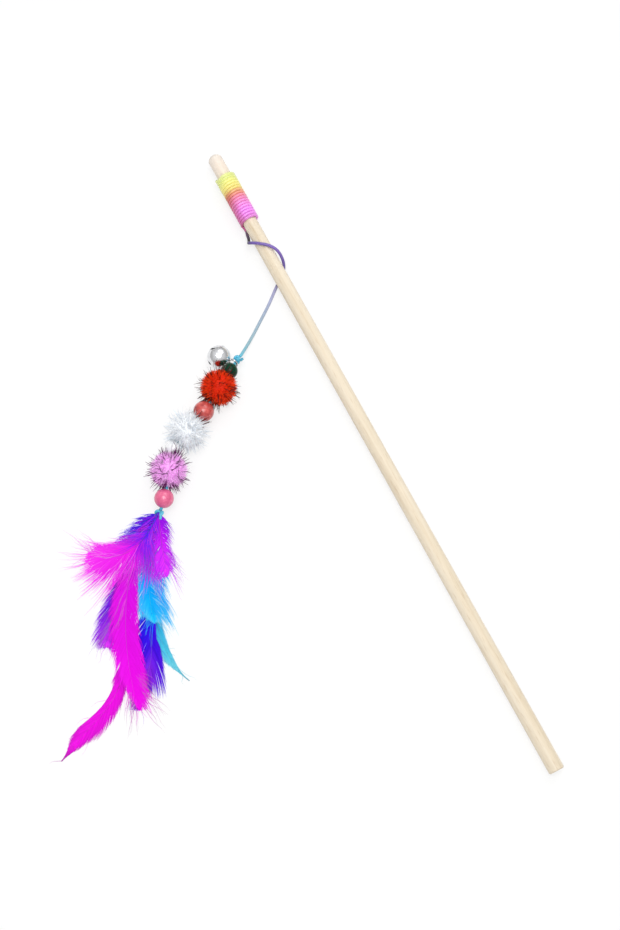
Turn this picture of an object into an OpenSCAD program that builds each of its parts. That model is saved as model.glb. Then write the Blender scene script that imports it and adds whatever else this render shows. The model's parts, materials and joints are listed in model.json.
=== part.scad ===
// Cat teaser wand: a wooden dowel with a cord wound round its tip, and a lure of a bell,
// beads, pompoms and feathers on the free end of the cord. It lies on a table at z = 0,
// with the dowel along X, its tip at +X, and the lure on the +Y side.

/* [Dowel] */
// Length of the wooden dowel
dowel_length = 450; // [430:1:500]
// Diameter of the dowel
dowel_d = 9.5; // [9:0.1:10.5]
// Height of the rounded cap on the tip
dowel_cap = 3.2; // [1:0.1:4]
// Chamfer round the sawn end of the grip
dowel_chamfer = 0.6; // [0.2:0.1:1]

/* [Cord] */
// Diameter of the satin cord
cord_d = 2; // [1.8:0.05:2]
// Diameter of each turn of the winding, with its gap to the next taken off
turn_d = 1.7; // [1.4:0.05:1.7]
// Step of the winding from one turn to the next
turn_pitch = 2.15; // [2.15:0.05:2.4]
// Turns of cord round the tip
turns = 17; // [6:1:18]
// Bare wood left between the winding and the end of the tip
bare_tip = 17.4; // [8:0.1:20]
// Radius in which the cord turns out of the winding and along the dowel
exit_bend = 2.2; // [1.8:0.1:2.6]
// Distance from the grip's end at which the cord passes under the dowel
under_x = 349; // [340:1:352]
// Diameter of the cord's two knots
knot_d = 6.2; // [5.5:0.1:6.5]

/* [Lure] */
// Distance of the upper knot from the grip's end, along the dowel
lure_x = 310.8; // [310:0.1:312]
// Distance of the upper knot from the dowel's axis, across it
lure_y = 50.2; // [50:0.1:51]
// Height of the upper knot's middle above the table
upper_knot_z = 8; // [7.5:0.1:8.5]
// Height of the lower knot's middle above the table
lower_knot_z = 7.5; // [6:0.1:8.5]
// Distance from the green bead's middle to the coral bead's
run_a = 31.3; // [30:0.1:40]
// Distance from the coral bead's middle to the white bead's
run_b = 30.8; // [30:0.1:40]
// Distance from the white bead's middle to the pink bead's
run_c = 32.3; // [31:0.1:40]
// Direction of the first run of beads, turned from the dowel's
heading_a = 123.2; // [115:0.1:130]
// Direction of the second run
heading_b = 114.6; // [110:0.1:122]
// Direction of the third run
heading_c = 147.1; // [135:0.1:150]
// Direction from the pink bead to the lower knot
heading_d = 129.1; // [120:0.1:140]

/* [Beads and pompoms] */
// Diameter of the green bead
green_bead_d = 10.5; // [9:0.1:12]
// Diameter of the coral bead
coral_bead_d = 13; // [10:0.1:14]
// Diameter of the white bead
white_bead_d = 10; // [8:0.1:12]
// Diameter of the pink bead
pink_bead_d = 12; // [10:0.1:13]
// Diameter of the hole through each bead
bead_hole_d = 3.8; // [3.6:0.1:4.4]
// Diameter of the three pompoms, over the body of their strands
pompom_d = 23; // [21:0.1:25]
// Diameter of the hole that the cord makes through a pompom
pompom_hole_d = 2.5; // [2.4:0.1:3.5]
// Shift of the red pompom from mid-run towards the bead above it
red_lean = 1.8; // [0:0.1:2.5]
// Shift of the pink pompom from mid-run towards the bead above it
pink_lean = 1.4; // [0:0.1:2.5]

/* [Bell] */
// Outer diameter of the jingle bell
bell_d = 15; // [12:0.1:15.5]
// Thickness of the bell's sheet metal
bell_wall = 0.7; // [0.5:0.05:1]
// How far the crimped seam stands out of the bell
bell_rim = 0.25; // [0.1:0.05:0.5]
// Thickness of each half of the crimped seam
rim_t = 0.45; // [0.3:0.05:0.8]
// Width of the crossed slots
bell_slot = 1.3; // [1:0.1:2]
// Diameter of the round hole at each slot's end
slot_hole_d = 2.2; // [1.6:0.1:3]
// Angle from the bell's far pole to the slots' ends
slot_angle = 68; // [50:1:70]
// Turn of the crossed slots about the bell's axis
slot_turn = 8; // [0:1:89]
// Diameter of the wire of the bell's eye
eye_wire_d = 1.2; // [1:0.1:1.4]
// Inside diameter of the bell's eye
eye_hole_d = 4.4; // [4:0.1:5]
// Diameter of the loose ball in the bell
ball_d = 4; // [3:0.1:5]

/* [Feathers] */
// Length of the long pointed feather
long_length = 159; // [120:1:180]
// Width of the long pointed feather
long_width = 13; // [8:0.5:18]
// Length of the turquoise hackle
turquoise_length = 107; // [90:1:125]
// Width of the turquoise hackle
turquoise_width = 7; // [4:0.5:10]
// Length of the left purple feather
left_length = 86; // [70:1:100]
// Width of the left purple feather
left_width = 15; // [8:0.5:18]
// Length of the blue feather
blue_length = 117; // [90:1:125]
// Width of the blue feather
blue_width = 18; // [8:0.5:20]
// Length of the short violet feather
violet_length = 28; // [20:1:34]
// Width of the short violet feather
violet_width = 13; // [8:0.5:16]
// Length of the cyan plume
cyan_length = 67; // [50:1:80]
// Width of the cyan plume
cyan_width = 22; // [12:0.5:26]
// Length of the central magenta feather
centre_length = 123; // [100:1:140]
// Width of the central magenta feather
centre_width = 18; // [10:0.5:22]
// Length of the right plume
right_length = 38; // [28:1:45]
// Width of the right plume
right_width = 18; // [10:0.5:22]
// Length of the magenta plume
plume_length = 55; // [40:1:60]
// Width of the magenta plume
plume_width = 30; // [20:0.5:38]
// Thickness of a feather along its quill
quill_t = 0.5; // [0.4:0.05:0.55]
// Step from one quill up to the next in the lower knot
quill_step = 0.6; // [0.6:0.05:0.65]
// Step from one layer of feathers to the next on the table
layer_step = 0.8; // [0.7:0.05:1]
// Distance from the lower knot within which the feathers sink to their layers
droop_reach = 35; // [25:1:45]

/* [Hidden] */
$fn = 64;

// Clearances and overruns
fit_gap = 0.05;
soft_gap = 0.3;
seat_depth = 0.5;
cut_over = 1;

// The dowel leans up towards its tip, because it lies on the cord that passes under it
under_gap = 0.1;
dowel_r = dowel_d / 2;
tilt = asin((cord_d + under_gap) / under_x);
function on_dowel(p) = [
    p[0] * cos(tilt) - p[2] * sin(tilt), p[1], dowel_r + p[0] * sin(tilt) + p[2] * cos(tilt)
];

// Vectors
function unit(v) = v / norm(v);
function along(p, q, s) = p + s * unit(q - p);
function polar(length, angle) = [length * cos(angle), length * sin(angle), 0];
function turned(n, t) = unit(n - (n * t) * t);

// A tube through a list of points: a ring of corners at each, joined to the next
function tangents(p) = [
    for (i = [0:len(p) - 1]) unit(p[min(i + 1, len(p) - 1)] - p[max(i - 1, 0)])
];
function normals(t, first) = [
    for (i = 0, n = turned(first, t[0]);
        i < len(t);
        i = i + 1, n = i < len(t) ? turned(n, t[i]) : n) n
];
function ring(p, t, n, r, sides) =
    let (b = cross(t, n))
    [for (k = [0:sides - 1]) p + r * (cos(360 * k / sides) * n + sin(360 * k / sides) * b)];
function side_faces(rings, sides) = [
    for (i = [0:rings - 2], k = [0:sides - 1])
        let (a = i * sides + k, b = i * sides + (k + 1) % sides)
        each [[a, a + sides, b], [b, a + sides, b + sides]]
];
function end_faces(rings, sides) = [
    for (k = [1:sides - 2])
        each [[0, k, k + 1], (rings - 1) * sides * [1, 1, 1] + [0, k + 1, k]]
];
module tube(points, r, sides, first) {
    t = tangents(points);
    n = normals(t, first);
    corners = [for (i = [0:len(points) - 1]) each ring(points[i], t[i], n[i], r, sides)];
    polyhedron(corners, concat(side_faces(len(points), sides), end_faces(len(points), sides)));
}
function smooth(p, i, u) =
    let (a = p[max(i - 1, 0)], b = p[i], c = p[i + 1], d = p[min(i + 2, len(p) - 1)])
    b + u * (c - a) / 2 + u * u * (a - 2.5 * b + 2 * c - d / 2)
    + u * u * u * (1.5 * (b - c) + (d - a) / 2);
function refined(p, steps) = [
    for (i = [0:len(p) - 2], k = [0:steps - 1]) smooth(p, i, k / steps), p[len(p) - 1]
];

// The winding: a helix round the dowel that ends on its lure side, turned along the dowel
rings_per_turn = 24;
turn_sides = 6;
winding_r = dowel_r + cord_d / 2;
exit_angle = -18;
winding_end_x = dowel_length - bare_tip - turn_d / 2;
winding_start_x = winding_end_x - turns * turn_pitch;
function on_wrap(x, angle) = [x, winding_r * cos(angle), winding_r * sin(angle)];
bend_steps = 6;
winding_points = concat(
    [on_wrap(winding_end_x, exit_angle)
        + turn_d * [turn_pitch / (2 * PI * winding_r), -sin(exit_angle), cos(exit_angle)]],
    [for (i = [0:turns * rings_per_turn])
        on_wrap(winding_end_x - i * turn_pitch / rings_per_turn,
            exit_angle + 360 * (turns - i / rings_per_turn))],
    [for (i = [1:bend_steps])
        let (a = 90 * i / bend_steps, arc = exit_bend * sin(a))
        on_wrap(winding_start_x - exit_bend * (1 - cos(a)), exit_angle - arc / winding_r * 180 / PI)]
);
tail_angle = exit_angle - exit_bend / winding_r * 180 / PI;
winding_tail = on_wrap(winding_start_x - exit_bend - turn_d, tail_angle);
winding_path = concat(winding_points, [winding_tail]);

// Least gap between the turns, measured from each point to the points a half turn or more away
winding_gap = min([
    for (i = [0:3:len(winding_path) - 1], j = [i + rings_per_turn / 2:1:len(winding_path) - 1])
        norm(winding_path[i] - winding_path[j])
]) - turn_d;
echo(least_gap_of_the_winding = winding_gap);

// The lure's string: it bends inside the beads, and the pompoms are on the straight runs between
knot_r = knot_d / 2;
knot_ball_r = knot_r - seat_depth;
string_r = cord_d / 2;
pompom_r = pompom_d / 2;
string_z = pompom_r;
upper_knot_at = [lure_x, lure_y, upper_knot_z];
eye_r = (eye_hole_d + eye_wire_d) / 2;
bell_r = bell_d / 2;
rim_r = bell_r + bell_rim;
eye_reach = bell_r - seat_depth + eye_wire_d / 2 + eye_r;
string_reach = eye_reach + eye_hole_d / 2 - string_r - under_gap;
bell_plane = knot_r + eye_wire_d / 2 + soft_gap;
// A bead hangs inside the string's bend until the string takes up this play in its hole
play_share = 0.6;
bead_play = play_share * (bead_hole_d - cord_d) / 2;
function bead_mid(p, at, q, d) =
    let (inward = unit(p - at) + unit(q - at))
    at + max(d / 4 - bead_play / norm(inward), 0) * inward;

// The green bead clears the bell all round the string, also where it hangs off the string's line
bead_past_eye = eye_wire_d / 2 + soft_gap + green_bead_d / 2;
bell_and_bead = bell_r + green_bead_d / 2 + soft_gap;
function bead_past_bell(drop) = sqrt(max(pow(bell_and_bead, 2) - pow(string_reach - drop, 2), 0));
function bead_along(drop) = bell_plane + max(bead_past_eye, bead_past_bell(drop));
first_rise = string_z - upper_knot_z;
green_turn = asin(first_rise / bead_along(0));
first_bead = bead_along(max(green_bead_d / 2 * sin(green_turn / 2) - bead_play, 0));
green_at = upper_knot_at + polar(sqrt(first_bead * first_bead - first_rise * first_rise), heading_a)
    + [0, 0, first_rise];
coral_at = green_at + polar(run_a, heading_a);
white_at = coral_at + polar(run_b, heading_b);
pink_at = white_at + polar(run_c, heading_c);
last_step = pink_bead_d / 2 + knot_r + soft_gap;
last_fall = string_z - lower_knot_z;
lower_knot_at = pink_at + polar(sqrt(last_step * last_step - last_fall * last_fall), heading_d)
    - [0, 0, last_fall];
green_mid = bead_mid(upper_knot_at, green_at, coral_at, green_bead_d);
coral_mid = bead_mid(green_at, coral_at, white_at, coral_bead_d);
white_mid = bead_mid(coral_at, white_at, pink_at, white_bead_d);
pink_mid = bead_mid(white_at, pink_at, lower_knot_at, pink_bead_d);
function mid_run(p, q, d1, d2, lean) = along(p, q, (norm(q - p) + d1 / 2 - d2 / 2) / 2 - lean);
red_pompom_at = mid_run(green_at, coral_at, green_bead_d, coral_bead_d, red_lean);
white_pompom_at = mid_run(coral_at, white_at, coral_bead_d, white_bead_d, 0);
pink_pompom_at = mid_run(white_at, pink_at, white_bead_d, pink_bead_d, pink_lean);

// The string bends inside each bead, on an arc as long as the bead
arc_steps = 4;
function bend(p, at, q, half) =
    let (a = along(at, p, half), c = along(at, q, half))
    [
        for (i = [0:arc_steps])
            let (u = i / arc_steps) (1 - u) * (1 - u) * a + 2 * u * (1 - u) * at + u * u * c
    ];
string_path = concat(
    [along(upper_knot_at, green_at, knot_ball_r - fit_gap)],
    bend(upper_knot_at, green_at, coral_at, green_bead_d / 2),
    bend(green_at, coral_at, white_at, coral_bead_d / 2),
    bend(coral_at, white_at, pink_at, white_bead_d / 2),
    bend(white_at, pink_at, lower_knot_at, pink_bead_d / 2),
    [along(lower_knot_at, pink_at, knot_ball_r + fit_gap)]
);

// The free cord, from the winding's tail over the dowel, under it and along the table
winding_exit = on_dowel(winding_tail);
cord_last = [313.5, 46.2, 7];
cord_route = concat(
    [winding_exit],
    [
        [388, 5.4, 4.9], [385.5, 5.8, 5], [383.2, 6.7, 5.8], [381.5, 7.6, 7.4],
        [380.3, 8, 9.4], [379, 7.3, 11.2], [377.4, 5.6, 12.4], [375.6, 3.2, 13],
        [373.6, 0.6, 13.1], [371.4, -2, 12.9], [368.8, -4.3, 12.2], [366.2, -5.8, 11],
        [363.8, -6.5, 9.5], [361.4, -6.7, 7.8], [359.2, -6.5, 6], [357.2, -5.8, 4.3],
        [355.4, -4.6, 2.7], [353.8, -3, 1.6], [352.2, -1.2, 1.1], [350.4, 1.2, 1.05],
        [348.2, 4, 1.05], [344.5, 8.2, 1.05], [339.5, 13.8, 1.05], [334.5, 20, 1.05],
        [329.5, 26.4, 1.1], [325, 32, 1.6], [320.6, 37.4, 3], [316.8, 42.1, 5]
    ],
    [cord_last, along(upper_knot_at, cord_last, knot_ball_r + fit_gap)]
);
cord_sides = 8;
cord_path = refined(cord_route, 2);

// Feathers: length, width, heading, bend, power of the bend, bare share of the quill,
// place of the quill in the knot and layer on the table, each counted from the lowest
long_row = [long_length, long_width, 146, -41, 2.2, 0.5, 0, 0];
turquoise_row = [turquoise_length, turquoise_width, 148, 58, 2.5, 0.5, 1, 0];
left_row = [left_length, left_width, 120, 26, 1, 0.35, 2, 1];
blue_row = [blue_length, blue_width, 150, -4, 6, 0.45, 3, 1];
violet_row = [violet_length, violet_width, 104, 10, 1, 0.1, 4, 2];
cyan_row = [cyan_length, cyan_width, 134.6, 34.4, 1, 0.3, 5, 2];
centre_row = [centre_length, centre_width, 93, 78, 0.4, 0.22, 6, 3];
right_row = [right_length, right_width, 156, 11, 1, 0.1, 7, 3];
plume_row = [plume_length, plume_width, 130, -96, 1.5, 0.25, 8, 4];
feather_rows = [
    long_row, turquoise_row, left_row, blue_row, violet_row, cyan_row, centre_row, right_row,
    plume_row
];
feather_steps = 22;
vane_shares = [[0, 0], [0.12, 0.5], [0.3, 0.88], [0.5, 1], [0.7, 0.9], [0.85, 0.6], [1, 0.04]];
edge_share = 0.25;
shoulder_share = 0.7;
tip_share = 0.5;
mid_quill = (len(feather_rows) - 1) / 2;
function heading(row, u) = row[2] + row[3] * pow(u, row[4]);
function spine(row) = [
    for (i = 0, p = polar(quill_t, heading(row, 0));
        i <= feather_steps;
        i = i + 1,
        p = p + polar(row[0] / feather_steps, heading(row, (i - 0.5) / feather_steps))) p
];
function half_width(row, u) =
    max(quill_t / 2, row[1] / 2 * lookup((u - row[5]) / (1 - row[5]), vane_shares))
    * (u < 1 ? 1 : tip_share);
function eased(x) = let (u = min(x, 1)) u * u * (3 - 2 * u);
function layer_z(row, p) =
    let (
        root = lower_knot_at[2] + (row[6] - mid_quill) * quill_step,
        lay = quill_t / 2 + row[7] * layer_step
    )
    root + (lay - root) * eased(norm([p[0], p[1]]) / droop_reach);
function vane_point(row, p, across, lift) =
    let (q = p + across)
    [lower_knot_at[0] + q[0], lower_knot_at[1] + q[1], layer_z(row, q) + lift];
function feather_ring(row, p, i) =
    let (
        u = i / feather_steps,
        side = polar(half_width(row, u), heading(row, u) + 90),
        t = quill_t / 2 * (u < 1 ? 1 : tip_share),
        e = t * edge_share,
        m = e + (t - e) * shoulder_share
    )
    [
        vane_point(row, p, side, e), vane_point(row, p, side / 2, m),
        vane_point(row, p, 0 * side, t), vane_point(row, p, -side / 2, m),
        vane_point(row, p, -side, e), vane_point(row, p, -side, -e),
        vane_point(row, p, -side / 2, -m), vane_point(row, p, 0 * side, -t),
        vane_point(row, p, side / 2, -m), vane_point(row, p, side, -e)
    ];
feather_sides = 10;
function feather_points(row) =
    let (p = spine(row))
    [for (i = [0:feather_steps]) each feather_ring(row, p[i], i)];

// The origin is under the middle of the box round all but the free cord
reach_y = max([for (row = feather_rows, p = feather_points(row)) p[1]]);
lowest_y = -winding_r - turn_d / 2;
tip_x = on_dowel([dowel_length, 0, 0])[0];
butt_x = on_dowel([0, 0, dowel_r - dowel_chamfer])[0];
origin = [(tip_x + butt_x) / 2, (reach_y + lowest_y) / 2, 0];
module placed() {
    translate(-origin) children();
}
module on_axis(at, from, to) {
    d = unit(to - from);
    translate(at) rotate([0, acos(d[2]), atan2(d[1], d[0])]) children();
}

module dowel() {
    cap_ball_r = (dowel_r * dowel_r + dowel_cap * dowel_cap) / (2 * dowel_cap);
    color([0.94, 0.82, 0.64])
    placed() translate([0, 0, dowel_r]) rotate([0, 90 - tilt, 0]) {
        cylinder(h = dowel_chamfer, r1 = dowel_r - dowel_chamfer, r2 = dowel_r);
        translate([0, 0, dowel_chamfer])
            cylinder(h = dowel_length - dowel_chamfer - dowel_cap, r = dowel_r);
        intersection() {
            translate([0, 0, dowel_length - dowel_cap]) cylinder(h = dowel_cap, r = dowel_r);
            translate([0, 0, dowel_length - cap_ball_r]) sphere(r = cap_ball_r);
        }
    }
}

module winding() {
    color([0.96, 0.35, 0.78])
    placed() tube([for (p = winding_path) on_dowel(p)], turn_d / 2, turn_sides, [1, 0, 0]);
}

module cord() {
    color([0.46, 0.42, 0.66])
    placed() tube(cord_path, cord_d / 2, cord_sides, [0, 0, 1]);
}

// A knot is a ball with a turn of the cord standing out round it
module knot(at, to) {
    placed() on_axis(at, at, to) {
        sphere(r = knot_ball_r);
        rotate_extrude() translate([knot_r - string_r, 0]) circle(r = string_r);
    }
}

module upper_knot() {
    color([0.35, 0.78, 0.88]) knot(upper_knot_at, green_at);
}

module lower_knot() {
    color([0.35, 0.82, 0.92]) knot(lower_knot_at, pink_at);
}

module lure_string() {
    color([0.4, 0.75, 0.85])
    placed() tube(string_path, string_r, cord_sides, [0, 0, 1]);
}

module bead(mid, from, at, to, d) {
    placed() on_axis(mid, unit(from - at), unit(to - at)) difference() {
        sphere(d = d);
        translate([0, 0, -d / 2 - cut_over]) cylinder(h = d + 2 * cut_over, d = bead_hole_d);
    }
}

module green_bead() {
    color([0, 0.3, 0.16]) bead(green_mid, upper_knot_at, green_at, coral_at, green_bead_d);
}

module coral_bead() {
    color([0.95, 0.36, 0.32]) bead(coral_mid, green_at, coral_at, white_at, coral_bead_d);
}

module white_bead() {
    color([0.95, 0.95, 0.95]) bead(white_mid, coral_at, white_at, pink_at, white_bead_d);
}

module pink_bead() {
    color([0.95, 0.45, 0.55]) bead(pink_mid, white_at, pink_at, lower_knot_at, pink_bead_d);
}

// A hollow on the pompom's axis that clears a bead while the pompom turns
module hollow(at, axis, mid, d) {
    foot = at + ((mid - at) * axis) * axis;
    translate(foot) sphere(r = d / 2 + soft_gap + norm(mid - foot));
}

// A pompom presses in round the beads at both of its ends
module pompom(at, from, to, mid1, d1, mid2, d2) {
    axis = unit(to - from);
    placed() difference() {
        translate(at) sphere(d = pompom_d);
        on_axis(at, from, to)
            translate([0, 0, -pompom_r - cut_over])
                cylinder(h = pompom_d + 2 * cut_over, d = pompom_hole_d);
        hollow(at, axis, mid1, d1);
        hollow(at, axis, mid2, d2);
    }
}

module red_pompom() {
    color([0.9, 0.2, 0.12])
    pompom(red_pompom_at, green_at, coral_at, green_mid, green_bead_d, coral_mid, coral_bead_d);
}

module white_pompom() {
    color([0.92, 0.93, 0.95])
    pompom(white_pompom_at, coral_at, white_at, coral_mid, coral_bead_d, white_mid, white_bead_d);
}

module pink_pompom() {
    color([0.93, 0.3, 0.6])
    pompom(pink_pompom_at, white_at, pink_at, white_mid, white_bead_d, pink_mid, pink_bead_d);
}

// The bell's own frame: its middle at zero, its eye up along Z, the string across it along X
string_d = unit(green_at - upper_knot_at);
eye_at = upper_knot_at + bell_plane * string_d;
across_d = polar(1, heading_a - 90);
lift_d = cross(across_d, string_d);
bell_lean = asin((eye_at[2] - rim_r) / (string_reach * lift_d[2]));
bell_to_eye = -cos(bell_lean) * across_d + sin(bell_lean) * lift_d;
bell_at = eye_at - string_reach * bell_to_eye;
module in_bell() {
    x = string_d;
    z = bell_to_eye;
    y = cross(z, x);
    placed() multmatrix([
        [x[0], y[0], z[0], bell_at[0]],
        [x[1], y[1], z[1], bell_at[1]],
        [x[2], y[2], z[2], bell_at[2]]
    ]) children();
}

module half_shell() {
    difference() {
        union() {
            sphere(r = bell_r);
            cylinder(h = rim_t, r = rim_r);
        }
        sphere(r = bell_r - bell_wall);
        translate([0, 0, -bell_d]) cylinder(h = bell_d, r = bell_d);
    }
}

module bell_upper_shell() {
    color([0.85, 0.86, 0.88]) in_bell() half_shell();
}

module bell_lower_shell() {
    slot_z = bell_r * cos(slot_angle);
    color([0.8, 0.81, 0.84]) in_bell() mirror([0, 0, 1]) difference() {
        half_shell();
        for (a = [0, 90]) rotate([0, 0, slot_turn + a]) {
            translate([-bell_r, -bell_slot / 2, slot_z]) cube([bell_d, bell_slot, bell_r]);
            for (side = [-1, 1])
                rotate([0, side * slot_angle, 0]) cylinder(h = bell_d, d = slot_hole_d);
        }
    }
}

module bell_eye() {
    color([0.7, 0.71, 0.74]) in_bell()
        translate([0, 0, eye_reach]) rotate([0, 90, 0])
            rotate_extrude() translate([eye_r, 0]) circle(d = eye_wire_d);
}

ball_travel_r = bell_r - bell_wall - ball_d / 2 - under_gap;
module bell_ball() {
    color([0.5, 0.5, 0.52])
    placed() translate(bell_at - [0, 0, ball_travel_r]) sphere(d = ball_d);
}

module feather(row, tint) {
    color(tint) placed()
        polyhedron(feather_points(row), concat(
            side_faces(feather_steps + 1, feather_sides), end_faces(feather_steps + 1, feather_sides)));
}

module long_feather() {
    feather(long_row, [0.93, 0.05, 0.9]);
}

module turquoise_feather() {
    feather(turquoise_row, [0.35, 0.8, 0.95]);
}

module left_feather() {
    feather(left_row, [0.5, 0.08, 0.8]);
}

module blue_feather() {
    feather(blue_row, [0.22, 0.05, 0.9]);
}

module violet_feather() {
    feather(violet_row, [0.4, 0.12, 0.9]);
}

module cyan_feather() {
    feather(cyan_row, [0.1, 0.7, 0.98]);
}

module centre_feather() {
    feather(centre_row, [0.97, 0.08, 0.93]);
}

module right_feather() {
    feather(right_row, [0.72, 0.1, 0.88]);
}

module plume_feather() {
    feather(plume_row, [1, 0.2, 0.93]);
}

dowel();
winding();
cord();
upper_knot();
lure_string();
lower_knot();
bell_upper_shell();
bell_lower_shell();
bell_eye();
bell_ball();
green_bead();
red_pompom();
coral_bead();
white_pompom();
white_bead();
pink_pompom();
pink_bead();
long_feather();
turquoise_feather();
left_feather();
blue_feather();
violet_feather();
cyan_feather();
centre_feather();
right_feather();
plume_feather();
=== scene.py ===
import json
import math
from dataclasses import dataclass

import bpy
import numpy as np
from mathutils import Matrix, Vector


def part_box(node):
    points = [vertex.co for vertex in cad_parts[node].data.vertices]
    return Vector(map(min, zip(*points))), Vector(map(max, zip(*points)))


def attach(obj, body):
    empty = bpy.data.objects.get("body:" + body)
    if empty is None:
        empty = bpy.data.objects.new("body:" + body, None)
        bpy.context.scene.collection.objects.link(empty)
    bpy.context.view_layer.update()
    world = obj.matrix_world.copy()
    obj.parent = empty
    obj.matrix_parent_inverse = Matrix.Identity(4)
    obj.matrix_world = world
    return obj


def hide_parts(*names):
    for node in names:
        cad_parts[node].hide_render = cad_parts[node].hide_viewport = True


# A cat teaser wand: the dowel, beads and bell keep their CAD solids and get materials. The cord, its
# winding and knots, the tinsel pompoms and the feathers are made here, in the CAD's own frame.

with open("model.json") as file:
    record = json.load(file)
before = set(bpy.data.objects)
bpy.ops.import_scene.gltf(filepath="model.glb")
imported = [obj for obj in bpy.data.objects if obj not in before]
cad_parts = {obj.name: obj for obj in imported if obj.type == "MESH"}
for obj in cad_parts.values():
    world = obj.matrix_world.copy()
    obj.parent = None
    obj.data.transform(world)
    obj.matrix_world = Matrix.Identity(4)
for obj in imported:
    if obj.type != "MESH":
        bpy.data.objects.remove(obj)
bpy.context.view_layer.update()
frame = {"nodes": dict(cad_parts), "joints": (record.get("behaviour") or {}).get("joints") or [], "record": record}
rng = np.random.default_rng(7)
MM = 0.001

# Places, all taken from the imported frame
nodes = frame["nodes"]
joints = {joint["name"]: joint for joint in frame["joints"]}
mounts = {mount["name"]: mount for mount in frame["record"]["mounts"]}


def joint_at(name):
    return Vector(joints[name]["pos_m"])


def joint_axis(name):
    return Vector(joints[name]["axis"]).normalized()


def spin_at(name):
    """The middle of a bead or pompom, which its spin turns about."""
    return joint_at(name + "_spin")


def spin_axis(name):
    return joint_axis(name + "_spin")


# Sizes that the scene shares with the part
DOWEL_R = 4.75 * MM
CORD_D = 2 * MM
TURN_PITCH = 2.15 * MM
TURNS = 17
BARE_TIP = 17.4 * MM
TURN_D = 1.7 * MM
EXIT_BEND = 2.2 * MM
EXIT_ANGLE = -18
DOWEL_LENGTH = 450 * MM
KNOT_R = 3.1 * MM
KNOT_BALL_R = 2.6 * MM
POMPOM_R = 11.5 * MM
QUILL_T = 0.5 * MM
FEATHER_LAYER = 0.8 * MM
QUILL_STEP = 0.6 * MM
DROOP_REACH = 35 * MM
SOFT_GAP = 0.3 * MM
BELL_R = 7.5 * MM
BELL_WALL = 0.7 * MM

BUTT = Vector(mounts["butt_end"]["pos_m"])
ROD_WAY = -Vector(mounts["butt_end"]["axis"]).normalized()
ROD_SIDE = Vector((0, 1, 0))
ROD_UP = ROD_WAY.cross(ROD_SIDE)
ROD_ZERO = BUTT - Vector((0, 0, DOWEL_R))
UPPER_KNOT = joint_at("lure_swing")
LOWER_KNOT = joint_at("feather_swing")
STRING_WAY = joint_axis("bell_swing")


def on_rod(x, y, z):
    """A point given along the dowel, across it and up from its axis."""
    return BUTT + x * ROD_WAY + y * ROD_SIDE + z * ROD_UP


# Colours

def srgb(red, green, blue):
    """A colour given from 0 to 255, as it looks on a screen."""
    def linear(value):
        value = value / 255
        return value / 12.92 if value <= 0.04045 else ((value + 0.055) / 1.055) ** 2.4
    return (linear(red), linear(green), linear(blue), 1)


def dyed(stops):
    """A ramp's stops, from places with colours given from 0 to 255."""
    return [(place, srgb(*colour)) for place, colour in stops]


def grey(level):
    return (level, level, level, 1)


# Camera

PHOTO_HEIGHT_MM = 36
LENS_MM = 50
CAMERA_AT = Vector((9.725, 154.238, 762.942)) * MM
CAMERA_LOOK = Vector((0.27468, -0.14158, -0.95106))
CAMERA_RIGHT = Vector((-0.4582, -0.8888, 0))


def make_camera():
    data = bpy.data.cameras.new("photo_camera")
    data.sensor_fit = "VERTICAL"
    data.sensor_height = PHOTO_HEIGHT_MM
    data.sensor_width = PHOTO_HEIGHT_MM
    data.lens = LENS_MM
    data.clip_start = 0.05
    data.clip_end = 20
    camera = bpy.data.objects.new("photo_camera", data)
    bpy.context.scene.collection.objects.link(camera)
    back = -CAMERA_LOOK.normalized()
    right = (CAMERA_RIGHT - CAMERA_RIGHT.dot(back) * back).normalized()
    up = back.cross(right)
    turn = Matrix((right, up, back)).transposed()
    camera.matrix_world = Matrix.Translation(ROD_ZERO + CAMERA_AT) @ turn.to_4x4()
    bpy.context.scene.camera = camera


# Mesh helpers

def select_only(*objects):
    bpy.ops.object.select_all(action="DESELECT")
    for obj in objects:
        obj.select_set(True)
    bpy.context.view_layer.objects.active = objects[0]


def add_primitive(add, **values):
    """A new primitive with its place in its mesh."""
    bpy.ops.object.select_all(action="DESELECT")
    add(**values)
    bpy.ops.object.transform_apply(location=True, rotation=False, scale=False)
    return bpy.context.object


def smooth_object(name, mesh):
    mesh.shade_smooth()
    obj = bpy.data.objects.new(name, mesh)
    bpy.context.scene.collection.objects.link(obj)
    return obj


def mesh_points(obj):
    return np.array([vertex.co for vertex in obj.data.vertices], float)


def add_attribute(obj, name, values):
    layer = obj.data.attributes.new(name, "FLOAT", "POINT")
    layer.data.foreach_set("value", np.asarray(values, np.float32))


def finish_piece(obj, name, body, slot_name, material, *replaced):
    obj.name = name
    obj.data.name = name
    obj.data.materials.clear()
    obj.data.materials.append(material)
    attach(obj, body)
    if replaced:
        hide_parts(*replaced)


def ease(low, high, share):
    """From low to high as the share goes from 0 to 1, with a soft start and end."""
    return low + (high - low) * share * share * (3 - 2 * share)


def smooth_route(points, steps):
    """Points on a curve through all the given points."""
    out = []
    last = len(points) - 1
    for i in range(last):
        a, b = points[max(i - 1, 0)], points[i]
        c, d = points[i + 1], points[min(i + 2, last)]
        for k in range(steps):
            u = k / steps
            out.append(b + u * (c - a) / 2 + u * u * (a - 2.5 * b + 2 * c - d / 2)
                       + u * u * u * (1.5 * (b - c) + (d - a) / 2))
    out.append(points[last])
    return out


def run_shares(points):
    """How far along the line each point lies, from 0 to 1, and the line's length."""
    run = [0.0]
    for a, b in zip(points, points[1:]):
        run.append(run[-1] + (b - a).length)
    return [value / run[-1] for value in run], run[-1]


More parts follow.
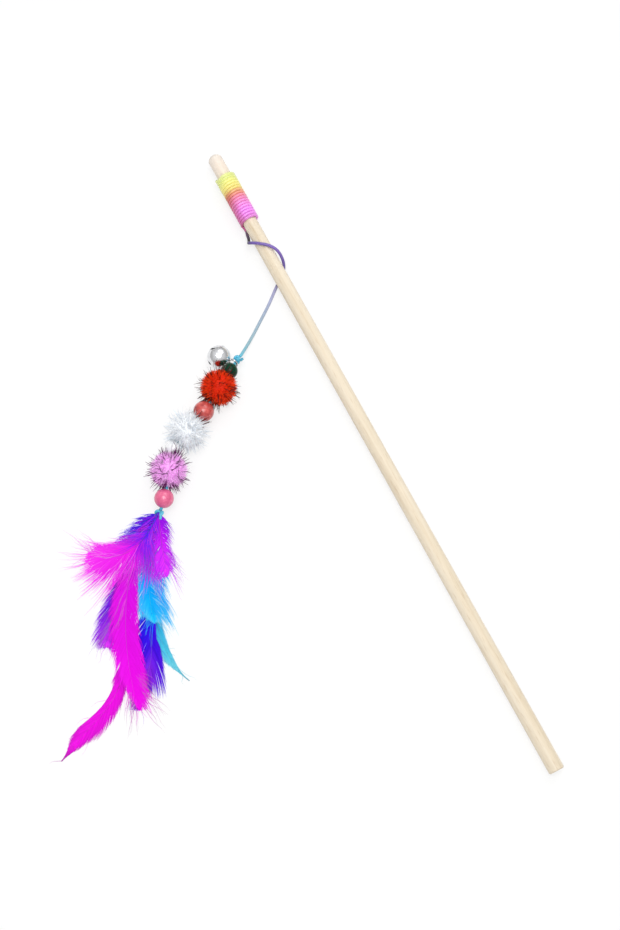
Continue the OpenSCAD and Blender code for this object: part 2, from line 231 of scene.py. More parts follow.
def tube(name, points, radius, sides, first=Vector((0, 0, 1))):
    """A round cord through the points, with its run from 0 to 1 in an attribute and in its UV map."""
    radii = radius if callable(radius) else (lambda share: radius)
    shares, length = run_shares(points)
    last = len(points) - 1
    rings = []
    way = (points[1] - points[0]).normalized()
    normal = (first - first.dot(way) * way).normalized()
    for i, point in enumerate(points):
        way = (points[min(i + 1, last)] - points[max(i - 1, 0)]).normalized()
        normal = (normal - normal.dot(way) * way).normalized()
        across = way.cross(normal)
        for k in range(sides):
            angle = 2 * math.pi * k / sides
            rings.append(point + radii(shares[i]) * (math.cos(angle) * normal + math.sin(angle) * across))
    faces = []
    for i in range(last):
        for k in range(sides):
            a, b = i * sides + k, i * sides + (k + 1) % sides
            faces.append((a, b, b + sides, a + sides))
    faces.append(tuple(reversed(range(sides))))
    faces.append(tuple(last * sides + k for k in range(sides)))
    mesh = bpy.data.meshes.new(name)
    mesh.from_pydata([tuple(point) for point in rings], [], faces)
    mesh.update()
    obj = smooth_object(name, mesh)
    add_attribute(obj, "run", np.repeat(shares, sides))
    layer = mesh.uv_layers.new(name="cord_map")
    for polygon in mesh.polygons:
        corners = [(k, mesh.loops[k].vertex_index) for k in polygon.loop_indices]
        wraps = len(corners) == 4 and max(index % sides for _, index in corners) == sides - 1
        for k, index in corners:
            turn = sides if wraps and index % sides == 0 else index % sides
            layer.data[k].uv = (turn / sides, shares[index // sides] * length / CORD_D)
    return obj


# Shader helpers

def new_material(name):
    material = bpy.data.materials.new(name)
    material.use_nodes = True
    tree = material.node_tree
    return material, tree, tree.nodes["Principled BSDF"]


def add_node(tree, kind, **values):
    node = tree.nodes.new(kind)
    for key, value in values.items():
        setattr(node, key, value)
    return node


def feed(tree, socket, value):
    """Links a socket to an output, or sets it to a number, a vector or a colour."""
    if isinstance(value, bpy.types.NodeSocket):
        tree.links.new(value, socket)
    else:
        socket.default_value = value


def feed_all(tree, node, values):
    for label, value in values.items():
        feed(tree, node.inputs[label], value)


def attribute(tree, name):
    """A point attribute's value."""
    return add_node(tree, "ShaderNodeAttribute", attribute_name=name).outputs["Fac"]


def object_place(tree):
    return add_node(tree, "ShaderNodeTexCoord").outputs["Object"]


def noise(tree, where, scale, detail=2.0, roughness=0.5):
    node = add_node(tree, "ShaderNodeTexNoise")
    feed_all(tree, node, {"Vector": where, "Scale": scale, "Detail": detail, "Roughness": roughness})
    return node.outputs[0]


def split_place(tree, where):
    """The X, Y and Z outputs of a place."""
    node = add_node(tree, "ShaderNodeSeparateXYZ")
    feed(tree, node.inputs[0], where)
    return node.outputs


def ramp(tree, value, stops):
    """The colour that the stops give for a value from 0 to 1."""
    node = add_node(tree, "ShaderNodeValToRGB")
    elements = node.color_ramp.elements
    elements[0].position, elements[0].color = stops[0]
    elements[1].position, elements[1].color = stops[-1]
    for position, colour in stops[1:-1]:
        elements.new(position).color = colour
    feed(tree, node.inputs[0], value)
    return node.outputs[0]


def math_node(tree, operation, *values):
    node = add_node(tree, "ShaderNodeMath", operation=operation)
    for socket, value in zip(node.inputs, values):
        feed(tree, socket, value)
    return node.outputs[0]


def mix_colour(tree, blend, factor, first, second):
    node = add_node(tree, "ShaderNodeMix", data_type="RGBA", blend_type=blend)
    for index, value in ((0, factor), (6, first), (7, second)):
        feed(tree, node.inputs[index], value)
    return node.outputs[2]


def bumped(tree, height, strength, distance):
    """The normal of a surface that the height roughens."""
    node = add_node(tree, "ShaderNodeBump")
    feed_all(tree, node, {"Strength": strength, "Distance": distance, "Height": height})
    return node.outputs[0]


def new_group(name, inputs, outputs):
    group = bpy.data.node_groups.new(name, "ShaderNodeTree")
    for label, kind, value in inputs:
        socket = group.interface.new_socket(label, in_out="INPUT", socket_type=kind)
        socket.default_value = value
    for label, kind in outputs:
        group.interface.new_socket(label, in_out="OUTPUT", socket_type=kind)
    start = group.nodes.new("NodeGroupInput")
    end = group.nodes.new("NodeGroupOutput")
    return group, start.outputs, end


def place_group(tree, group, **values):
    """A group's outputs, with its inputs set by their names in lower case."""
    node = add_node(tree, "ShaderNodeGroup", node_tree=group)
    for key, value in values.items():
        node.inputs[key.replace("_", " ").capitalize()].default_value = value
    return node.outputs


NUMBER = "NodeSocketFloat"
COLOUR = "NodeSocketColor"


def make_satin_group():
    """Fine slanted threads round a satin cord: a shade and a height, from the cord's UV map."""
    group, start, end = new_group(
        "satin_threads",
        [("Threads", NUMBER, 10.0), ("Slant", NUMBER, 1.5)],
        [("Shade", NUMBER), ("Height", NUMBER)])
    uv = add_node(group, "ShaderNodeUVMap", uv_map="cord_map").outputs[0]
    parts = split_place(group, uv)
    lean = math_node(group, "MULTIPLY", parts[1], start["Slant"])
    around = math_node(group, "MULTIPLY", parts[0], start["Threads"])
    phase = math_node(group, "MULTIPLY", math_node(group, "ADD", around, lean), 2 * math.pi)
    wave = math_node(group, "MULTIPLY_ADD", math_node(group, "SINE", phase), 0.5, 0.5)
    cloud = math_node(group, "MULTIPLY", noise(group, uv, 3.0, 3.0), 0.65)
    feed_all(group, end, {"Shade": math_node(group, "MULTIPLY_ADD", wave, 0.35, cloud), "Height": wave})
    return group


def make_strand_group():
    """The shade of a strand or barb, from its own random number and how far along it a point lies."""
    group, start, end = new_group(
        "strand_shade",
        [("Root", COLOUR, grey(0.5)), ("Tip", COLOUR, grey(1)), ("Dark", COLOUR, grey(0.1)),
         ("Dark share", NUMBER, 0.2)],
        [("Colour", COLOUR), ("Own", NUMBER)])
    own = attribute(group, "own")
    body = mix_colour(group, "MIX", attribute(group, "along"), start["Root"], start["Tip"])
    spread = math_node(group, "MULTIPLY", own, start["Dark share"])
    feed_all(group, end, {"Colour": mix_colour(group, "MIX", spread, body, start["Dark"]), "Own": own})
    return group


def make_scuff_group():
    """Fine scuffs and cloudiness on a hard glossy piece, as a roughness, a shade and a height."""
    group, start, end = new_group(
        "fine_scuffs",
        [("Base rough", NUMBER, 0.15), ("Spread", NUMBER, 0.1), ("Scale", NUMBER, 400.0)],
        [("Roughness", NUMBER), ("Cloud", NUMBER), ("Height", NUMBER)])
    place = object_place(group)
    cloud = noise(group, place, start["Scale"], 6.0, 0.65)
    rough = math_node(group, "MULTIPLY_ADD", cloud, start["Spread"], start["Base rough"])
    feed_all(group, end, {"Roughness": rough, "Cloud": cloud, "Height": noise(group, place, 2600.0)})
    return group


SATIN = make_satin_group()
STRAND = make_strand_group()
SCUFFS = make_scuff_group()


# Materials

def birch_material():
    """Birch with long grain and fine pores; towards its bare tip a painted highlight makes it paler, and painted
    shade greys the rounded end.
    """
    material, tree, shader = new_material("birch")
    place = object_place(tree)

    def drawn_out(scale, detail, roughness):
        node = add_node(tree, "ShaderNodeMapping")
        feed_all(tree, node, {"Vector": place, "Scale": scale})
        return noise(tree, node.outputs[0], 1.0, detail, roughness)
    grain = drawn_out((9, 260, 260), 8.0, 0.6)
    flecks = drawn_out((120, 1500, 1500), 4.0, 0.5)
    bands = ramp(tree, grain, dyed([
        (0.25, (210, 192, 162)), (0.45, (226, 212, 188)), (0.6, (233, 221, 200)), (0.8, (221, 205, 178))]))
    pores = ramp(tree, flecks, [(0.3, (0.72, 0.62, 0.5, 1)), (0.42, grey(1))])
    wood = mix_colour(tree, "MULTIPLY", 0.45, bands, pores)
    tip_x = on_rod(DOWEL_LENGTH, 0, 0).x
    behind = math_node(tree, "SUBTRACT", tip_x, split_place(tree, place)[0])
    from_tip = math_node(tree, "MULTIPLY", behind, 1 / BARE_TIP)
    # Painted light on the bare tip: the wood is mixed towards a paler colour as if brightly lit, and towards grey
    # at the rounded end as painted shade
    tip_light_mask = ramp(tree, from_tip, [(0.0, grey(0.85)), (0.18, grey(0.75)), (0.9, grey(0.55)), (1.0, grey(0))])
    painted_tip_light = ramp(tree, from_tip, dyed([
        (0.0, (226, 221, 214)), (0.2, (236, 226, 218)), (0.6, (242, 228, 217))]))
    feed_all(tree, shader, {
        "Base Color": mix_colour(tree, "MIX", tip_light_mask, wood, painted_tip_light),
        "Roughness": math_node(tree, "MULTIPLY_ADD", grain, 0.2, 0.45),
        "Specular IOR Level": 0.3,
        "Normal": bumped(tree, flecks, 0.25, 0.0001)})
    return material


def satin_material(name, stops, shaded_flank=None):
    """Satin cord dyed in a run of colours; a painted shade colour, if given, darkens it where the attribute of the
    same name is high.
    """
    material, tree, shader = new_material(name)
    threads = place_group(tree, SATIN, threads=9.0, slant=1.6)
    shade = ramp(tree, threads["Shade"], [(0.2, grey(0.72)), (0.75, grey(1.06))])
    colour = mix_colour(tree, "MULTIPLY", 1.0, ramp(tree, attribute(tree, "run"), dyed(stops)), shade)
    # Painted shade, darker on one flank, multiplied into the dye
    if shaded_flank:
        colour = mix_colour(tree, "MULTIPLY", attribute(tree, "shaded_flank"), colour, shaded_flank)
    feed_all(tree, shader, {
        "Base Color": colour,
        "Roughness": math_node(tree, "MULTIPLY_ADD", threads["Shade"], 0.2, 0.3),
        "Sheen Weight": 0.25,
        "Sheen Roughness": 0.4,
        "Normal": bumped(tree, threads["Height"], 0.35, 0.00008)})
    return material


def bead_material(name, colour, deep, rough, spread, gloss):
    """Coloured plastic or lacquer under a clear gloss."""
    material, tree, shader = new_material(name)
    scuffs = place_group(tree, SCUFFS, base_rough=rough, spread=spread, scale=350.0)
    feed_all(tree, shader, {
        "Base Color": ramp(tree, scuffs["Cloud"], dyed([(0.3, deep), (0.65, colour)])),
        "Roughness": scuffs["Roughness"],
        "Specular IOR Level": 0.15 + 0.8 * gloss,
        "Coat Weight": gloss,
        "Coat Roughness": 0.06,
        "Normal": bumped(tree, scuffs["Height"], 0.06, 0.0001)})
    return material


def shaded(colour, share):
    """A colour dimmed to a share of its light."""
    return tuple(share * part for part in colour[:3]) + (1,)


def nickel_material(name, colour, rough, spread):
    """Plated sheet or wire, a little cloudy."""
    material, tree, shader = new_material(name)
    scuffs = place_group(tree, SCUFFS, base_rough=rough, spread=spread, scale=600.0)
    feed_all(tree, shader, {
        "Base Color": ramp(tree, scuffs["Cloud"], [(0.3, shaded(colour, 0.8)), (0.7, colour)]),
        "Roughness": scuffs["Roughness"],
        "Metallic": 1.0,
        "Normal": bumped(tree, scuffs["Height"], 0.05, 0.00005)})
    return material


def bell_material():
    """Polished plate outside; inside, where only the slots let light in, painted shade makes the sheet near black.
    """
    material = nickel_material("polished_nickel", (0.87, 0.88, 0.9, 1), 0.15, 0.08)
    tree = material.node_tree
    base = tree.nodes["Principled BSDF"].inputs["Base Color"]
    shells = [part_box(name) for name in ("bell_upper_shell", "bell_lower_shell")]
    low = [min(box[0][axis] for box in shells) for axis in range(3)]
    high = [max(box[1][axis] for box in shells) for axis in range(3)]
    from_middle = add_node(tree, "ShaderNodeVectorMath", operation="DISTANCE")
    feed(tree, from_middle.inputs[0], object_place(tree))
    feed(tree, from_middle.inputs[1], [(a + b) / 2 for a, b in zip(low, high)])
    # Painted shade: everything inside the shells' wall is coloured near black, as if unlit
    inside = math_node(tree, "LESS_THAN", from_middle.outputs["Value"], BELL_R - BELL_WALL / 2)
    feed(tree, base, mix_colour(tree, "MIX", inside, base.links[0].from_socket, (0.03, 0.03, 0.035, 1)))
    return material


def strand_material(name, root, tip, dark, dark_share, rough=0.55, gloss=0.15):
    """Yarn, foil or hair, whose colour runs from its root to its tip; some strands are darker."""
    material, tree, shader = new_material(name)
    shade = place_group(tree, STRAND, root=srgb(*root), tip=srgb(*tip), dark=srgb(*dark),
                        dark_share=dark_share)
    feed_all(tree, shader, {
        "Base Color": shade["Colour"],
        "Roughness": math_node(tree, "MULTIPLY_ADD", shade["Own"], 0.2, rough - 0.1),
        "Specular IOR Level": gloss})
    return material


def quill_material(name, stops):
    """A quill's colour runs with its vane's dye, a little darker."""
    material, tree, shader = new_material(name)
    darker = [(place, shaded(colour, 0.7)) for place, colour in dyed(stops)]
    grain = noise(tree, object_place(tree), 900.0)
    feed_all(tree, shader, {
        "Base Color": ramp(tree, attribute(tree, "run"), darker),
        "Roughness": math_node(tree, "MULTIPLY_ADD", grain, 0.2, 0.3)})
    return material


def feather_material(name, stops, edge, dark):
    """A dyed vane: its colour runs along the feather, and each barb changes towards its own tip."""
    material, tree, shader = new_material(name)
    own = attribute(tree, "own")
    dye = ramp(tree, attribute(tree, "place"), dyed(stops))
    outer = math_node(tree, "POWER", attribute(tree, "along"), 2.5)
    edged = mix_colour(tree, "MIX", math_node(tree, "MULTIPLY", outer, 0.8), dye, srgb(*edge))
    spread = math_node(tree, "MULTIPLY", math_node(tree, "POWER", own, 2.0), 0.55)
    feed_all(tree, shader, {
        "Base Color": mix_colour(tree, "MIX", spread, edged, srgb(*dark)),
        "Roughness": math_node(tree, "MULTIPLY_ADD", own, 0.2, 0.5),
        "Specular IOR Level": 0.06})
    return material


# Cord

WINDING_R = DOWEL_R + CORD_D / 2
WINDING_END = DOWEL_LENGTH - BARE_TIP - TURN_D / 2
WINDING_START = WINDING_END - TURNS * TURN_PITCH
RINGS_PER_TURN = 40
BEND_STEPS = 8
WINDING_SIDES = 10
CORD_SIDES = 14
CORD_STEPS = 5


def on_wrap(x, degrees):
    angle = math.radians(degrees)
    return on_rod(x, WINDING_R * math.cos(angle), WINDING_R * math.sin(angle))


def winding_route():
    """From the tip end down to the turn that leaves along the dowel."""
    tuck = math.radians(EXIT_ANGLE)
    first = on_wrap(WINDING_END, EXIT_ANGLE)
    step = TURN_PITCH / (2 * math.pi * WINDING_R)
    points = [first + TURN_D * (step * ROD_WAY - math.sin(tuck) * ROD_SIDE + math.cos(tuck) * ROD_UP)]
    points += [on_wrap(WINDING_END - i * TURN_PITCH / RINGS_PER_TURN,
                       EXIT_ANGLE + 360 * (TURNS - i / RINGS_PER_TURN))
               for i in range(TURNS * RINGS_PER_TURN + 1)]
    for i in range(1, BEND_STEPS + 1):
        angle = math.pi / 2 * i / BEND_STEPS
        arc = math.degrees(EXIT_BEND * math.sin(angle) / WINDING_R)
        points.append(on_wrap(WINDING_START - EXIT_BEND * (1 - math.cos(angle)), EXIT_ANGLE - arc))
    tail = EXIT_ANGLE - math.degrees(EXIT_BEND / WINDING_R)
    points.append(on_wrap(WINDING_START - EXIT_BEND - TURN_D, tail))
    return points


# The free cord's route, in millimetres along the dowel, across it and up from the table
CORD_POINTS = [
    (388, 5.4, 4.9), (385.5, 5.8, 5), (383.2, 6.7, 5.8), (381.5, 7.6, 7.4),
    (380.3, 8, 9.4), (379, 7.3, 11.2), (377.4, 5.6, 12.4), (375.6, 3.2, 13),
    (373.6, 0.6, 13.1), (371.4, -2, 12.9), (368.8, -4.3, 12.2), (366.2, -5.8, 11),
    (363.8, -6.5, 9.5), (361.4, -6.7, 7.8), (359.2, -6.5, 6), (357.2, -5.8, 4.3),
    (355.4, -4.6, 2.7), (353.8, -3, 1.6), (352.2, -1.2, 1.1), (350.4, 1.2, 1.05),
    (348.2, 4, 1.05), (344.5, 8.2, 1.05), (339.5, 13.8, 1.05), (334.5, 20, 1.05),
    (329.5, 26.4, 1.1), (325, 32, 1.6), (320.6, 37.4, 3), (316.8, 42.1, 5), (313.5, 46.2, 7)]


def cord_route(winding_exit):
    points = [winding_exit] + [ROD_ZERO + Vector(point) * MM for point in CORD_POINTS]
    points.append(UPPER_KNOT + KNOT_BALL_R * (points[-1] - UPPER_KNOT).normalized())
    return points


# The cord's dyes, and on the free cord some painted shadow, each from one end of its piece to the other
WINDING_DYE = [
    (0.0, (238, 246, 164)), (0.12, (238, 244, 146)), (0.2, (252, 246, 146)), (0.33, (254, 236, 136)),
    (0.38, (248, 196, 134)), (0.45, (248, 158, 138)), (0.53, (252, 150, 188)), (0.64, (255, 154, 226)),
    (0.8, (255, 154, 255)), (0.96, (248, 148, 242)), (1.0, (220, 124, 196))]
# The free cord's first stops, grey to near black where it leaves the winding and bends round the dowel, are
# painted shadow over its purple dye
CORD_DYE_AND_SHADOW = [
    (0.0, (120, 92, 120)), (0.05, (78, 62, 84)), (0.085, (22, 14, 30)), (0.115, (34, 22, 60)),
    (0.15, (110, 88, 168)), (0.28, (130, 102, 188)), (0.4, (104, 86, 156)), (0.56, (168, 168, 206)),
    (0.72, (160, 178, 198)), (0.88, (150, 184, 196)), (0.97, (124, 188, 206)), (1.0, (100, 196, 220))]
KNOT_DYE = [(0.0, (104, 206, 232)), (1.0, (78, 184, 218))]

# The winding's first turns are thicker, and its pink turns get a painted shade, darker and redder, on the lure's
# side
TURN_FULLNESS = 1.02
FAT_TURN_FULLNESS = 1.18
FAT_TURNS_SHARE = 0.27
FAT_TURNS_FADE = 0.04
FLANK_PAINTED_SHADE = (0.72, 0.42, 0.4, 1)
PAINTED_SHADE_STARTS = 0.3
PAINTED_SHADE_FADE = 0.1
PAINTED_SHADE_EDGE = 0.3


def winding_radius(share):
    """The first turns lie over the cord's tucked end, and so stand out a little."""
    lifted = min(max((FAT_TURNS_SHARE - share) / FAT_TURNS_FADE + 0.5, 0), 1)
    return CORD_D / 2 * ease(TURN_FULLNESS, FAT_TURN_FULLNESS, lifted)


def shaded_flank_share(point):
    """How far round to the lure's side of the winding a point lies, from 0 on top to 1; the painted shade follows
    it.
    """
    away = point - on_rod((point - BUTT).dot(ROD_WAY), 0, 0)
    return max(away.normalized().dot(ROD_SIDE) - PAINTED_SHADE_EDGE, 0) / (1 - PAINTED_SHADE_EDGE)


def make_winding():
    """Lays the turns and gives the point where the cord leaves them."""
    points = winding_route()
    winding = tube("winding", points, winding_radius, WINDING_SIDES, ROD_WAY)
    shares = np.repeat(run_shares(points)[0], WINDING_SIDES)
    # Painted shade: the lure-side flank of the pink turns is darkened and reddened as if in shadow
    shaded_flank = np.array([shaded_flank_share(vertex.co) for vertex in winding.data.vertices])
    add_attribute(winding, "shaded_flank", shaded_flank * np.clip((shares - PAINTED_SHADE_STARTS) / PAINTED_SHADE_FADE, 0, 1))
    finish_piece(winding, "satin_winding", "wand", "wound_cord",
                 satin_material("dyed_and_shaded_winding", WINDING_DYE, FLANK_PAINTED_SHADE), "winding")
    return points[-1]


def make_cord(winding_exit):
    points = smooth_route(cord_route(winding_exit), CORD_STEPS)
    cord = tube("cord", points, CORD_D / 2, CORD_SIDES)
    finish_piece(cord, "satin_cord", "wand", "free_cord", satin_material("dyed_and_shaded_cord", CORD_DYE_AND_SHADOW), "cord")


# Knots

KNOT_STRAND_R = 0.92 * MM
KNOT_RISE = 0.95 * MM
KNOT_STEPS = 64
KNOT_SIDES = 12
TAIL_R = 0.8 * MM
TAIL_STEPS = 6

# The knots' cut ends, in millimetres from a knot's middle, with the string along the third number
UPPER_TAILS = [[(0.5, 1.2, 0.4), (1.6, 2.2, 1.0), (2.6, 3.1, 1.2), (3.4, 4.2, 0.8)]]
LOWER_TAILS = [[(0.3, 1.0, 0.2), (1.4, 2.0, 0.8), (2.2, 2.8, 1.8), (2.4, 3.2, 3.2)],
               [(-0.4, -1.0, 0.2), (-1.3, -2.0, 1.0), (-1.8, -2.6, 2.4)]]


def knot_route():
    """One closed run of an overhand knot, lying round its own axis."""
    reach = KNOT_R - KNOT_STRAND_R
    points = []
    for i in range(KNOT_STEPS + 1):
        t = 2 * math.pi * i / KNOT_STEPS
        points.append(Vector((math.sin(t) + 2 * math.sin(2 * t), math.cos(t) - 2 * math.cos(2 * t), 0))
                      * reach / 3 + Vector((0, 0, -KNOT_RISE * math.sin(3 * t))))
    return points


def make_knot(name, at, way, body, material, node, tails):
    """A pulled overhand knot with its cut ends."""
    turn = way.to_track_quat("Z", "Y").to_matrix()
    points = [at + turn @ point for point in knot_route()]
    knot = tube(name, points, KNOT_STRAND_R, KNOT_SIDES, turn @ Vector((0, 0, 1)))
    pieces = [knot]
    for tail in tails:
        route = smooth_route([at + turn @ Vector(point) * MM for point in tail], TAIL_STEPS)
        pieces.append(tube(name + "_end", route, TAIL_R, KNOT_SIDES))
    select_only(*pieces)
    bpy.ops.object.join()
    finish_piece(knot, name, body, "knot_cord", material, node)


def make_knots(satin):
    make_knot("upper_overhand_knot", UPPER_KNOT, STRING_WAY, "lure", satin, "upper_knot", UPPER_TAILS)
    quill_way = (LOWER_KNOT - spin_at("pink_bead")).normalized()
    make_knot("lower_overhand_knot", LOWER_KNOT, quill_way, "feathers", satin, "lower_knot", LOWER_TAILS)


# The string inside the beads

BEAD_R = {"green_bead": 5.25 * MM, "coral_bead": 6.5 * MM, "white_bead": 5 * MM, "pink_bead": 6 * MM}
STRUNG = ["green_bead", "red_pompom", "coral_bead", "white_pompom", "white_bead", "pink_pompom", "pink_bead"]
BORE_SHARE = 0.85
EYE_RUN = 1 * MM
STRING_END = 0.8 * KNOT_BALL_R
STRING_STEPS = 4
STRING_SIDES = 12


def make_string(satin):
    """The string runs along each bead's bore and through the middle of each pompom."""
    eye = joint_at("bell_swing")
    points = [UPPER_KNOT + STRING_END * STRING_WAY, eye, eye + EYE_RUN * STRING_WAY]
    for name in STRUNG:
        at = spin_at(name)
        if name in BEAD_R:
            half = BEAD_R[name] * BORE_SHARE * spin_axis(name)
            points += [at - half, at, at + half]
        else:
            points.append(at)
    points.append(LOWER_KNOT + STRING_END * (points[-1] - LOWER_KNOT).normalized())
    string = tube("string", smooth_route(points, STRING_STEPS), CORD_D / 2, STRING_SIDES)
    finish_piece(string, "lure_satin_string", "lure", "lure_cord", satin, "lure_string")


# Strands: one flat strip is modelled, then laid along many curves

TAPER_POWER = 1.5


def strip_template(steps, taper):
    """A flat strip from 0 to 1 along Y and one wide at its root, narrowed towards its tip."""
    strip = add_primitive(bpy.ops.mesh.primitive_grid_add, x_subdivisions=1, y_subdivisions=steps, size=1,
                          location=(0, 0.5, 0))
    points = mesh_points(strip)
    faces = np.array([polygon.vertices for polygon in strip.data.polygons], int)
    bpy.data.objects.remove(strip)
    points[:, 0] *= 1 - taper * points[:, 1] ** TAPER_POWER
    return points, faces


STRIP = strip_template(steps=5, taper=0.75)
FINE_STRIP = strip_template(steps=6, taper=0.9)


def lay_strips(name, runs, strip):
    """Each run is a dict: line(u) gives points along it, side a vector across, width and its own numbers."""
    points, faces = strip
    u = points[:, 1]
    stacked = np.vstack([run["line"](u) + points[:, 0:1] * run["width"] * run["side"] for run in runs])
    quads = np.vstack([faces + i * len(points) for i in range(len(runs))])
    mesh = bpy.data.meshes.new(name)
    mesh.vertices.add(len(stacked))
    mesh.vertices.foreach_set("co", stacked.astype(np.float32).ravel())
    mesh.loops.add(quads.size)
    mesh.loops.foreach_set("vertex_index", quads.ravel().astype(np.int32))
    mesh.polygons.add(len(quads))
    mesh.polygons.foreach_set("loop_start", np.arange(0, quads.size, 4, dtype=np.int32))
    mesh.update(calc_edges=True)
    mesh.validate()
    obj = smooth_object(name, mesh)
    add_attribute(obj, "own", np.repeat([run["own"] for run in runs], len(points)))
    add_attribute(obj, "along", np.tile(u, len(runs)))
    if "place" in runs[0]:
        add_attribute(obj, "place", np.repeat([run["place"] for run in runs], len(points)))
    return obj


# Pompoms

CORE_SHARE = 0.8
CORE_LUMPS = 0.05
CORE_WAVES = ((900, 300, 500), (-400, 800, 600))
CORE_FLOOR = 1 * MM
CORE_SHADES = (0.4, 0.9)
CORE_ALONG = 0.15
STRAND_FLOOR = 0.2 * MM

# A pompom's strands: where they start as a share of its radius, how their directions stray, how far they
# curl in mm, and how many there are, how far past the radius they end and how wide they are in mm
YARN = {"turn": 0.3, "stray": 0.12, "start": 0.55, "curl": 0.9,
        "count": 2400, "reach": (-1.15, 0.575), "width": (0.55, 0.85)}
FOIL = {"turn": 1.1, "stray": 0.25, "start": 0.75, "curl": 2.4}
POMPOM_FOIL = {
    "red_pompom": {"count": 190, "reach": (0.2, 4.2), "width": (0.5, 0.8)},
    "white_pompom": {"count": 360, "reach": (0.4, 4.8), "width": (0.4, 0.7)},
    "pink_pompom": {"count": 230, "reach": (0.2, 4.4), "width": (0.5, 0.85)},
}

# Foil that lies over the beads beside a pompom: its dye and how many strands
COLLARS = [
    ("red_pompom", "green_bead", "red_foil", 10), ("red_pompom", "coral_bead", "red_foil", 46),
    ("white_pompom", "coral_bead", "red_foil", 26), ("white_pompom", "white_bead", "white_foil", 30),
    ("pink_pompom", "white_bead", "pink_foil", 44), ("pink_pompom", "pink_bead", "pink_foil", 46)]
COLLAR_LEAN = (0.22, 0.6)
COLLAR_PAST = (0.8, 5.2)
COLLAR_WIDTH = (0.45, 0.75)
COLLAR_CURL = 2.0

# A strand's root, tip and darkest colours, how much of the dark shows, and its roughness and gloss
STRAND_DYES = {
    "red_fluff": ((236, 42, 12), (255, 84, 28), (180, 18, 4), 0.42),
    "red_foil": ((120, 14, 8), (58, 12, 14), (30, 6, 8), 0.8, 0.35, 0.3),
    "white_fluff": ((250, 252, 255), (255, 255, 255), (236, 242, 250), 0.3),
    "white_foil": ((246, 250, 254), (236, 243, 249), (182, 194, 208), 0.5, 0.3, 0.4),
    "pink_fluff": ((255, 184, 254), (255, 218, 255), (240, 146, 232), 0.3),
    "pink_foil": ((150, 60, 140), (92, 34, 88), (48, 18, 44), 0.8, 0.35, 0.3),
}


def sphere_ways(count, turn):
    """Evenly spread directions."""
    golden = math.pi * (3 - math.sqrt(5))
    ways = []
    for i in range(count):
        z = 1 - 2 * (i + 0.5) / count
        radius = math.sqrt(1 - z * z)
        angle = golden * i + turn
        ways.append(Vector((radius * math.cos(angle), radius * math.sin(angle), z)))
    return ways


def beads_beside(pompom):
    place = STRUNG.index(pompom)
    return STRUNG[place - 1], STRUNG[place + 1]


def hollow_for(pompom, bead):
    """The ball on a pompom's own axis that holds the bead beside it, so that the pompom can turn past it."""
    at, axis, beside = spin_at(pompom), spin_axis(pompom), spin_at(bead)
    foot = at + (beside - at).dot(axis) * axis
    return foot, BEAD_R[bead] + SOFT_GAP + (beside - foot).length


def clear_of(points, hollows, floor):
    """Pushes points out of the hollows of the neighbouring beads and off the table."""
    for centre, radius in hollows:
        away = points - np.array(centre)
        reach = np.linalg.norm(away, axis=1, keepdims=True)
        inside = reach < radius
        points = np.where(inside, np.array(centre) + away / np.maximum(reach, 1e-9) * radius, points)
    points[:, 2] = np.maximum(points[:, 2], floor)
    return points


def strand_run(at, way, start, reach, curl, width, hollows, own):
    """A strand from the start to the reach along its way from the pompom's middle."""
    side = way.cross(Vector((rng.normal(), rng.normal(), rng.normal()))).normalized()
    lean = np.array(way.cross(side))
    centre, ahead = np.array(at), np.array(way)

    def line(u):
        u = u[:, None]
        points = centre + ahead * (start + (reach - start) * u) + lean * curl * u * u
        return clear_of(points, hollows, STRAND_FLOOR)
    return {"line": line, "side": np.array(side), "width": width, "own": own}


def ball_runs(at, hollows, turn, stray, start, curl, count, reach, width):
    """Strands that stand out all round a pompom's middle."""
    runs = []
    for way in sphere_ways(count, turn):
        way = (way + Vector(rng.normal(0, stray, 3))).normalized()
        end = POMPOM_R + rng.uniform(*reach) * MM
        runs.append(strand_run(at, way, POMPOM_R * start, end, rng.normal(0, curl) * MM,
                               rng.uniform(*width) * MM, hollows, rng.uniform(0, 1)))
    return runs


def make_core(at, hollows):
    """The lumpy middle that the yarn stands on."""
    core = add_primitive(bpy.ops.mesh.primitive_ico_sphere_add, subdivisions=4,
                         radius=POMPOM_R * CORE_SHARE, location=at)
    outward = mesh_points(core) - np.array(at)
    waves = [np.sin(outward @ np.array(wave)) for wave in CORE_WAVES]
    lumps = 1 + CORE_LUMPS * waves[0] * waves[1]
    points = clear_of(np.array(at) + outward * lumps[:, None], hollows, CORE_FLOOR)
    core.data.vertices.foreach_set("co", points.astype(np.float32).ravel())
    core.data.shade_smooth()
    add_attribute(core, "own", rng.uniform(*CORE_SHADES, len(points)))
    add_attribute(core, "along", np.full(len(points), CORE_ALONG))
    return core


def make_pompom(name, slot_name, fluff, tinsel):
    """A soft ball of yarn strands with foil strands standing out of it."""
    at = spin_at(name)
    hollows = [hollow_for(name, bead) for bead in beads_beside(name)]
    core = make_core(at, hollows)
    yarn = lay_strips(name + "_yarn", ball_runs(at, hollows, **YARN), STRIP)
    select_only(core, yarn)
    bpy.ops.object.join()
    finish_piece(core, name + "_fluff", name, slot_name, fluff, name)
    foil = lay_strips(name + "_foil", ball_runs(at, hollows, **FOIL, **POMPOM_FOIL[name]), STRIP)
    finish_piece(foil, name + "_tinsel", name, slot_name, tinsel)


